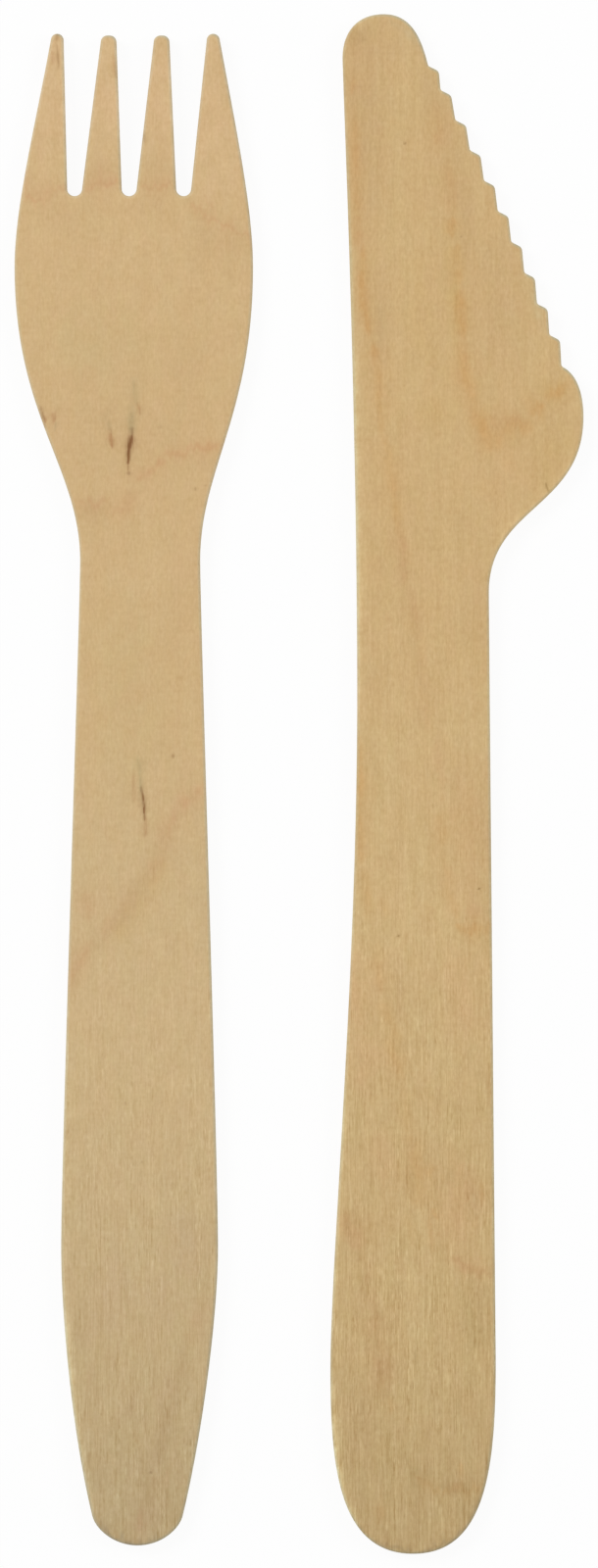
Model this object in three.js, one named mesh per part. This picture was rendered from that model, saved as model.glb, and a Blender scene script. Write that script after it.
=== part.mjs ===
// Disposable birch cutlery set: a four-tined fork and a serrated knife that lie side by side.
// Each piece is stamped flat out of one sheet of veneer and tumbled, which eases its edges.
// Millimetres, +Z up. Both handles run along Y, tines and blade towards +Y, undersides on z = 0.
// The origin is at the middle of the set.

import * as THREE from 'three';

// Veneer sheet
const SHEET_THICKNESS = 1.6;
const EDGE_EASE = 0.3;

// How the pieces lie: the clear width between them, and how far the fork's butt is ahead of the knife's
const SET_GAP = 8.3;
const FORK_ADVANCE = 0.9;

// Fork lengths: shoulder and grip are measured up from the butt, the rest back from the tine tips
const FORK_LENGTH = 162;
const FORK_SHOULDER_HEIGHT = 3.2;
const FORK_GRIP_HEIGHT = 31.8;
const FORK_NECK_DEPTH = 56.5;
const FORK_HEAD_DEPTH = 25;
const SLOT_DEPTH = 17.4;
const INNER_TINE_SHORTFALL = 0.18;

// Fork widths
const FORK_SHOULDER_WIDTH = 9.7;
const FORK_GRIP_WIDTH = 16.8;
const FORK_NECK_WIDTH = 12.85;
const FORK_HEAD_WIDTH = 25.54;
const OUTER_TINE_TIP_WIDTH = 1.2;
const INNER_TINE_TIP_WIDTH = 1.57;
const INNER_TINE_ROOT_WIDTH = 4.35;
const SLOT_MOUTH_WIDTH = 4.1;
const SLOT_ROOT_WIDTH = 1.5;
const SLOT_COUNT = 3;

// Fork rounds
const TINE_TIP_RADIUS = 0.72;
const SLOT_ROOT_RADIUS = 0.85;

// The stamping sits a little off the handle's axis: sideways offsets, + to the right
const FORK_BUTT_OFFSET = -0.22;
const FORK_NECK_OFFSET = 0.06;
const FORK_HEAD_OFFSET = -0.62;
const TINE_TIP_OFFSET = -0.45;
const SLOT_ROOT_OFFSET = -1.15;

// Slopes of the fork's sides, in degrees from the handle's axis
const FORK_SHOULDER_SLOPE = 13.6;
const OUTER_TINE_SLOPE = 10.4;

// Knife lengths: the grip is measured up from the butt, the rest back from the tip's crown
const KNIFE_LENGTH = 165;
const SPINE_GRIP_HEIGHT = 19.4;
const EDGE_GRIP_HEIGHT = 22;
const SPINE_WAIST_DEPTH = 73.3;
const TIP_SHOULDER_DEPTH = 4.7;
const EDGE_START_DEPTH = 5.55;

// Knife widths, each from the handle's axis to the spine or to the edge side
const SPINE_GRIP_WIDTH = 8.85;
const EDGE_GRIP_WIDTH = 8.85;
const SPINE_WAIST_WIDTH = 5.98;
const THROAT_WIDTH = 8.12;
const TIP_SHOULDER_WIDTH = 7.55;
const TIP_CROWN_WIDTH = 3.12;
const EDGE_START_WIDTH = 1.63;
const TIP_FLANK_SLOPE = 13.6;

// Serrated edge: a slightly bowed row of steps, the first one shorter, from the tip down to the heel
const EDGE_SLOPE = 23.9;
const EDGE_BOW = 0.5;
const TOOTH_COUNT = 10;
const TIP_TOOTH_PITCH = 2.9;
const TOOTH_PITCH = 3.59;
const TOOTH_STEP = 1.27;
const TOOTH_STEP_SLOPE = 63.5;
const TOOTH_TIP_RADIUS = 0.65;
const TOOTH_ROOT_RADIUS = 0.4;

// Heel and throat: the heel's crest from the edge's last root, and the throat from the crest
const HEEL_OVERHANG = 2.36;
const HEEL_DROP = 5.4;
const HEEL_STEP_SLOPE = 66;
const THROAT_DROP = 19;

// How far each sweep holds its first and last direction, as shares of the span between its ends
const FORK_BUTT_SWEEP = [0.44, 0.26];
const FORK_END_SWEEP = [0.34, 0.22];
const FORK_HANDLE_SWEEP = [0.13, 0.07];
const FORK_HEAD_SWEEP = [0.31, 0.5];
const FORK_TINE_SWEEP = [0.25, 0.41];
const EDGE_BUTT_SWEEP = [0.34, 0.52];
const SPINE_BUTT_SWEEP = [0.37, 0.48];
const SPINE_HANDLE_SWEEP = [0.17, 0.41];
const SPINE_BLADE_SWEEP = [0.47, 0.03];
const TIP_SPINE_SWEEP = [0.44, 0.44];
const TIP_EDGE_SWEEP = [0.4, 0.41];
const HEEL_SWEEP = [0.42, 0.31];
const THROAT_SWEEP = [0.44, 0.46];

// Finish
const FORK_COLOUR = 0xcbae80;
const KNIFE_COLOUR = 0xcaab7a;
const WOOD_ROUGHNESS = 0.62;

// Fineness of the facets: the most a chord may leave its curve, and the steps round an eased edge
const CHORD_ERROR = 0.01;
const EASE_STEPS = 2;
const CHORD_PROBES = [0.25, 0.5, 0.75];

// The largest share of a round, or of half the sheet, that the easing may take
const EASE_SHARE = 0.75;

const UP = direction(0);
const DOWN = direction(180);
const RIGHT = direction(90);

// Unit vector at an angle from +Y, positive towards +X
function direction(degrees) {
  const angle = THREE.MathUtils.degToRad(degrees);
  return new THREE.Vector2(Math.sin(angle), Math.cos(angle));
}

function point(x, y) {
  return new THREE.Vector2(x, y);
}

function reversed(vector) {
  return vector.clone().negate();
}

// Shares of a sweep that is drawn from its far end
function backwards([leavingShare, arrivingShare]) {
  return [arrivingShare, leavingShare];
}

// An outline is a list of corners, each a point with the radius that rounds it
function corner(place, radius = 0) {
  return { place, radius };
}

// Adds the stretch of a curve between two parameters, halved until its chords lie on the curve
function addStretch(outline, curve, from, to) {
  const start = curve.getPoint(from);
  const end = curve.getPoint(to);
  const chord = new THREE.Line3(new THREE.Vector3(start.x, start.y), new THREE.Vector3(end.x, end.y));
  const leaves = CHORD_PROBES.some((share) => {
    const probe = curve.getPoint(THREE.MathUtils.lerp(from, to, share));
    const onCurve = new THREE.Vector3(probe.x, probe.y);
    const onChord = chord.closestPointToPoint(onCurve, true, new THREE.Vector3());
    return onCurve.distanceTo(onChord) > CHORD_ERROR;
  });
  if (leaves) {
    const middle = (from + to) / 2;
    addStretch(outline, curve, from, middle);
    addStretch(outline, curve, middle, to);
  } else {
    outline.push(corner(end));
  }
}

// Adds a smooth sweep from the outline's last point to a new one, with given directions at both ends
function sweepTo(outline, end, leaving, arriving, [leavingShare, arrivingShare]) {
  const start = outline.at(-1).place;
  const span = start.distanceTo(end);
  const firstHandle = start.clone().addScaledVector(leaving, span * leavingShare);
  const lastHandle = end.clone().addScaledVector(arriving, -span * arrivingShare);
  addStretch(outline, new THREE.CubicBezierCurve(start, firstHandle, lastHandle, end), 0, 1);
}

// Unit vectors from a corner to its two neighbours, and half the angle between them
function cornerAngle(before, item, after) {
  const back = before.place.clone().sub(item.place).normalize();
  const ahead = after.place.clone().sub(item.place).normalize();
  const half = Math.acos(THREE.MathUtils.clamp(back.dot(ahead), -1, 1)) / 2;
  return { back, ahead, half };
}

// Arc that rounds a corner, from one straight to the next, reaching equally far along both
function cornerArc(before, item, after, reach) {
  const { back, ahead, half } = cornerAngle(before, item, after);
  const centre = back.clone().add(ahead).setLength(reach / Math.cos(half)).add(item.place);
  const start = item.place.clone().addScaledVector(back, reach).sub(centre);
  const end = item.place.clone().addScaledVector(ahead, reach).sub(centre);
  const radius = reach * Math.tan(half);
  return new THREE.EllipseCurve(
    centre.x, centre.y, radius, radius, start.angle(), end.angle(), back.cross(ahead) > 0,
  );
}

// Replaces each corner that has a radius by an arc, as wide as the straights beside it allow
function rounded(outline) {
  const count = outline.length;
  const before = (index) => outline[(index + count - 1) % count];
  const after = (index) => outline[(index + 1) % count];
  const reaches = outline.map((item, index) => {
    return item.radius / Math.tan(cornerAngle(before(index), item, after(index)).half);
  });
  const limits = outline.map((item, index) => {
    const wanted = reaches[index] + reaches[(index + 1) % count];
    return Math.min(1, item.place.distanceTo(after(index).place) / wanted);
  });
  const points = [];
  outline.forEach((item, index) => {
    if (item.radius === 0) {
      points.push(corner(item.place));
      return;
    }
    const reach = reaches[index] * Math.min(limits[index], limits[(index + count - 1) % count]);
    const arc = cornerArc(before(index), item, after(index), reach);
    const start = arc.getPoint(0);
    if (start.distanceTo(points.at(-1).place) > CHORD_ERROR) {
      points.push(corner(start));
    }
    addStretch(points, arc, 0, 1);
  });
  return points.map((item) => item.place);
}

// Tine tips and slots, from the right-hand tine to the left-hand one
function addTines(outline) {
  const rootLevel = FORK_LENGTH - SLOT_DEPTH;
  const mouthPitch = SLOT_MOUTH_WIDTH + INNER_TINE_TIP_WIDTH;
  const rootPitch = SLOT_ROOT_WIDTH + INNER_TINE_ROOT_WIDTH;
  const isOuter = (tine) => tine === 0 || tine === SLOT_COUNT;
  const tipLevel = (tine) => FORK_LENGTH - (isOuter(tine) ? 0 : INNER_TINE_SHORTFALL);
  for (let slot = SLOT_COUNT - 1; slot >= 0; slot -= 1) {
    const place = slot - (SLOT_COUNT - 1) / 2;
    const mouth = TINE_TIP_OFFSET + place * mouthPitch;
    const root = SLOT_ROOT_OFFSET + place * rootPitch;
    outline.push(corner(point(mouth + SLOT_MOUTH_WIDTH / 2, tipLevel(slot + 1)), TINE_TIP_RADIUS));
    outline.push(corner(point(root + SLOT_ROOT_WIDTH / 2, rootLevel), SLOT_ROOT_RADIUS));
    outline.push(corner(point(root - SLOT_ROOT_WIDTH / 2, rootLevel), SLOT_ROOT_RADIUS));
    outline.push(corner(point(mouth - SLOT_MOUTH_WIDTH / 2, tipLevel(slot)), TINE_TIP_RADIUS));
  }
}

// Fork outline: up the right side from the butt, across the tines and down the left side
function forkOutline() {
  const slotsWidth = SLOT_COUNT * SLOT_MOUTH_WIDTH + (SLOT_COUNT - 1) * INNER_TINE_TIP_WIDTH;
  const tipsWidth = slotsWidth + 2 * OUTER_TINE_TIP_WIDTH;
  const station = (side, offset, width, height) => point(offset + (side * width) / 2, height);
  const shoulder = (side) => station(side, FORK_BUTT_OFFSET, FORK_SHOULDER_WIDTH, FORK_SHOULDER_HEIGHT);
  const grip = (side) => station(side, 0, FORK_GRIP_WIDTH, FORK_GRIP_HEIGHT);
  const neck = (side) => station(side, FORK_NECK_OFFSET, FORK_NECK_WIDTH, FORK_LENGTH - FORK_NECK_DEPTH);
  const head = (side) => station(side, FORK_HEAD_OFFSET, FORK_HEAD_WIDTH, FORK_LENGTH - FORK_HEAD_DEPTH);
  const tip = (side) => station(side, TINE_TIP_OFFSET, tipsWidth, FORK_LENGTH);
  const butt = point(FORK_BUTT_OFFSET, 0);

  const outline = [corner(butt)];
  sweepTo(outline, shoulder(1), RIGHT, direction(FORK_SHOULDER_SLOPE), FORK_BUTT_SWEEP);
  sweepTo(outline, grip(1), direction(FORK_SHOULDER_SLOPE), UP, FORK_END_SWEEP);
  sweepTo(outline, neck(1), UP, UP, FORK_HANDLE_SWEEP);
  sweepTo(outline, head(1), UP, UP, FORK_HEAD_SWEEP);
  sweepTo(outline, tip(1), UP, direction(-OUTER_TINE_SLOPE), FORK_TINE_SWEEP);
  outline.at(-1).radius = TINE_TIP_RADIUS;
  addTines(outline);
  outline.push(corner(tip(-1), TINE_TIP_RADIUS));
  sweepTo(outline, head(-1), reversed(direction(OUTER_TINE_SLOPE)), DOWN, backwards(FORK_TINE_SWEEP));
  sweepTo(outline, neck(-1), DOWN, DOWN, backwards(FORK_HEAD_SWEEP));
  sweepTo(outline, grip(-1), DOWN, DOWN, backwards(FORK_HANDLE_SWEEP));
  sweepTo(outline, shoulder(-1), DOWN, reversed(direction(-FORK_SHOULDER_SLOPE)), backwards(FORK_END_SWEEP));
  sweepTo(outline, butt, reversed(direction(-FORK_SHOULDER_SLOPE)), RIGHT, backwards(FORK_BUTT_SWEEP));
  outline.pop();
  return rounded(outline);
}

// Root of a tooth on the edge, counted from the tip. The edge is a parabola, EDGE_BOW high at its middle
function toothRoot(index) {
  const along = index === 0 ? 0 : TIP_TOOTH_PITCH + (index - 1) * TOOTH_PITCH;
  const share = along / (TIP_TOOTH_PITCH + (TOOTH_COUNT - 1) * TOOTH_PITCH);
  const bow = 4 * EDGE_BOW * share * (1 - share);
  const start = point(EDGE_START_WIDTH, KNIFE_LENGTH - EDGE_START_DEPTH);
  return start
    .addScaledVector(direction(180 - EDGE_SLOPE), along)
    .addScaledVector(direction(90 - EDGE_SLOPE), bow);
}

// Knife outline: up the edge side from the butt, along the teeth, over the tip and down the spine
function knifeOutline() {
  const butt = point(0, 0);
  const edgeGrip = point(EDGE_GRIP_WIDTH, EDGE_GRIP_HEIGHT);
  const lastRoot = toothRoot(TOOTH_COUNT);
  const heel = lastRoot.clone().add(point(HEEL_OVERHANG, -HEEL_DROP));
  const throat = point(THROAT_WIDTH, heel.y - THROAT_DROP);
  const crown = point(-TIP_CROWN_WIDTH, KNIFE_LENGTH);
  const tipShoulder = point(-TIP_SHOULDER_WIDTH, KNIFE_LENGTH - TIP_SHOULDER_DEPTH);
  const waist = point(-SPINE_WAIST_WIDTH, KNIFE_LENGTH - SPINE_WAIST_DEPTH);
  const spineGrip = point(-SPINE_GRIP_WIDTH, SPINE_GRIP_HEIGHT);
  const handleRun = throat.clone().sub(edgeGrip).normalize();
  const step = direction(180 - TOOTH_STEP_SLOPE).multiplyScalar(TOOTH_STEP);

  const outline = [corner(butt)];
  sweepTo(outline, edgeGrip, RIGHT, handleRun, EDGE_BUTT_SWEEP);
  outline.push(corner(throat));
  sweepTo(outline, heel, handleRun, UP, THROAT_SWEEP);
  sweepTo(outline, lastRoot, UP, direction(-HEEL_STEP_SLOPE), HEEL_SWEEP);
  outline.at(-1).radius = TOOTH_ROOT_RADIUS;
  for (let index = TOOTH_COUNT - 1; index >= 0; index -= 1) {
    const root = toothRoot(index);
    outline.push(corner(root.clone().add(step), TOOTH_TIP_RADIUS));
    outline.push(corner(root, TOOTH_ROOT_RADIUS));
  }
  sweepTo(outline, crown, direction(-TIP_FLANK_SLOPE), reversed(RIGHT), TIP_EDGE_SWEEP);
  sweepTo(outline, tipShoulder, reversed(RIGHT), DOWN, TIP_SPINE_SWEEP);
  sweepTo(outline, waist, DOWN, DOWN, backwards(SPINE_BLADE_SWEEP));
  sweepTo(outline, spineGrip, DOWN, DOWN, backwards(SPINE_HANDLE_SWEEP));
  sweepTo(outline, butt, DOWN, RIGHT, backwards(SPINE_BUTT_SWEEP));
  outline.pop();
  return rounded(outline);
}

// One stamped piece: its outline through the sheet, with both rims eased
function stampedPiece(name, outline, colour) {
  const smallestRound = Math.min(TINE_TIP_RADIUS, TOOTH_TIP_RADIUS, OUTER_TINE_TIP_WIDTH / 2);
  const ease = Math.min(EDGE_EASE, EASE_SHARE * smallestRound, (EASE_SHARE * SHEET_THICKNESS) / 2);
  const geometry = new THREE.ExtrudeGeometry(new THREE.Shape(outline), {
    depth: SHEET_THICKNESS - 2 * ease,
    bevelEnabled: true,
    bevelThickness: ease,
    bevelSize: ease,
    bevelOffset: -ease,
    bevelSegments: EASE_STEPS,
  });
  geometry.translate(0, 0, ease);
  geometry.computeBoundingBox();
  const mesh = new THREE.Mesh(
    geometry,
    new THREE.MeshStandardMaterial({ color: colour, roughness: WOOD_ROUGHNESS, metalness: 0 }),
  );
  mesh.name = name;
  return mesh;
}

// The set, laid out with its middle at the origin
function cutlerySet() {
  const fork = stampedPiece('fork', forkOutline(), FORK_COLOUR);
  const knife = stampedPiece('knife', knifeOutline(), KNIFE_COLOUR);
  fork.position.set(-fork.geometry.boundingBox.max.x, FORK_ADVANCE, 0);
  knife.position.set(SET_GAP - knife.geometry.boundingBox.min.x, 0, 0);
  const set = new THREE.Group();
  set.add(fork, knife);
  const middle = new THREE.Box3().setFromObject(set).getCenter(new THREE.Vector3());
  set.position.set(-middle.x, -middle.y, 0);
  return set;
}

export default cutlerySet();
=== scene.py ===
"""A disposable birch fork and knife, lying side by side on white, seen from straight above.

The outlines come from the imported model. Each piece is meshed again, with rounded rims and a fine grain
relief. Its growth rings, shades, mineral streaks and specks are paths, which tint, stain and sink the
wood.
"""

import math
from collections import namedtuple

import bpy
import numpy as np
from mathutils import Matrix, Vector, kdtree
from mathutils.geometry import delaunay_2d_cdt


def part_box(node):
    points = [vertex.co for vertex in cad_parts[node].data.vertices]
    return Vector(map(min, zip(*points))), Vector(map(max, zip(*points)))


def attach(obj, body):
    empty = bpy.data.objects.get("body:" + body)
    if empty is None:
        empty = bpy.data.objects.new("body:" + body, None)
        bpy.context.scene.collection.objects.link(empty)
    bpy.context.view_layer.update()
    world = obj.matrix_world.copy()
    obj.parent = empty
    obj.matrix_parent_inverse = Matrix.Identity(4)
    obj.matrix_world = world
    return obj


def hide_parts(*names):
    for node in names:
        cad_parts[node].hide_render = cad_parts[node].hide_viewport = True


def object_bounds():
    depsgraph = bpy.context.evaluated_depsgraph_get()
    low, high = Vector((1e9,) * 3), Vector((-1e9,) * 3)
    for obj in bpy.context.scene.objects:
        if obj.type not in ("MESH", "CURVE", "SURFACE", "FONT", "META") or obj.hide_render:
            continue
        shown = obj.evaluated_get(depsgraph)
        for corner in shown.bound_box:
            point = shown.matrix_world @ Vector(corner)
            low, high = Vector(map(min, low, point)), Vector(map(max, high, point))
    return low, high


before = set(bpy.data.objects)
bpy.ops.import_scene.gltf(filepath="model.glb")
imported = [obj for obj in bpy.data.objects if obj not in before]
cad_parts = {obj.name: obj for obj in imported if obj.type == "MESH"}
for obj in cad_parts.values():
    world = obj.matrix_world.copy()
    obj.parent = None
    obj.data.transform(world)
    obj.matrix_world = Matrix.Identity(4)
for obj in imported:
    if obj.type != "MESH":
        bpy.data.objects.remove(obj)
cad_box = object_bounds()

MM = 0.001

# The photograph's framing: how much of the table its height shows, and a far camera for a flat view.
PHOTO_HEIGHT = 168.0 * MM
CAMERA_DISTANCE = 1.2
SENSOR = 36.0

# The mesh, in millimetres: steps along the outline, round the rims, over the faces and over narrow marks.
RIM_STEPS = 5
RIM_LONGEST_STEP = 0.45
RIM_LARGEST_TURN = math.radians(9)
FACE_STEP_ACROSS = 0.36
FACE_STEP_ALONG = 0.72
FACE_CLEARANCE = 0.16
MARK_LEAST_STEP = 0.08
MARK_STEPS_ACROSS = 2.5
MARK_REACH = 1.8

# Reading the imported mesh, in millimetres: the digits that tell points and levels apart, and a level's slack.
# Filling a face keeps the triangles inside its border and joins points that are this close.
POINT_DIGITS = 4
LEVEL_DIGITS = 3
LEVEL_SLACK = 0.001
FILL_INSIDE = 1
FILL_SLACK = 1e-6

# The relief of the planed faces, in millimetres: (cell across, cell along, height).
RELIEF_LAYERS = ((0.9, 14.0, 0.007), (2.6, 40.0, 0.014))
RELIEF_FADE = 0.8

# Painted shade on the rims, darkest where they face the tips and a little to the right: that way, and how
# narrowly it counts. A hollow with at least this bend, in radians a millimetre, keeps its rim free of it.
PAINTED_SHADE_SIDE = np.array((0.5, 0.866))
PAINTED_SHADE_POWER = 4
HOLLOW_BEND = 0.3

# A path in millimetres with the half width of its soft edge, its strength and the depth that it is sunk.
Mark = namedtuple("Mark", "path width strength depth", defaults=(0.0,))

# A mark's soft edge: its core's share, how much wider its halo is, and how narrow and faint its ends are.
CORE_SHARE = 0.65
HALO = 2.2
END_WIDTH = 0.5
END_STRENGTH = 0.4

# Marks run out along the fibres: how far, and the size of the fibres that carry them, in millimetres.
FEATHER = 0.45
FEATHER_CELL = (0.32, 4.0)

# The kinds of mark that stain the upper face only.
UPPER_KINDS = ("smear", "stain", "streak")

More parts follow.
